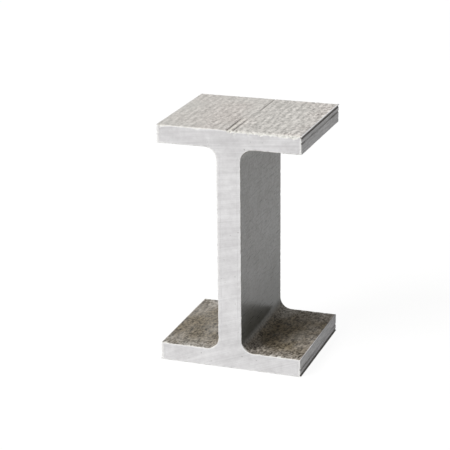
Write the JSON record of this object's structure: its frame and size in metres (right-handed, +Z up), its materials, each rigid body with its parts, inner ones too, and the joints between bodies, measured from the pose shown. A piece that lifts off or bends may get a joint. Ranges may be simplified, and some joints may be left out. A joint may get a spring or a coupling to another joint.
{
  "type": "fibreglass i-beam",
  "caption": "Sawn offcut of pultruded fibreglass I-beam with a thick web, square flanges and moulded root fillets, for frames and platforms.",
  "frame": {"origin": "middle of the underside of the lower flange", "axes": "+Z up along the web, +Y along the beam towards the far sawn end, +X across the flanges to the right"},
  "size_m": [0.0762, 0.066, 0.127],
  "materials": {
    "fibreglass": "matte grey moulded skin with lengthwise fibre texture, paler on the sawn ends"
  },
  "bodies": {
    "root": {"i_beam": "fibreglass"}
  },
  "joints": []
}
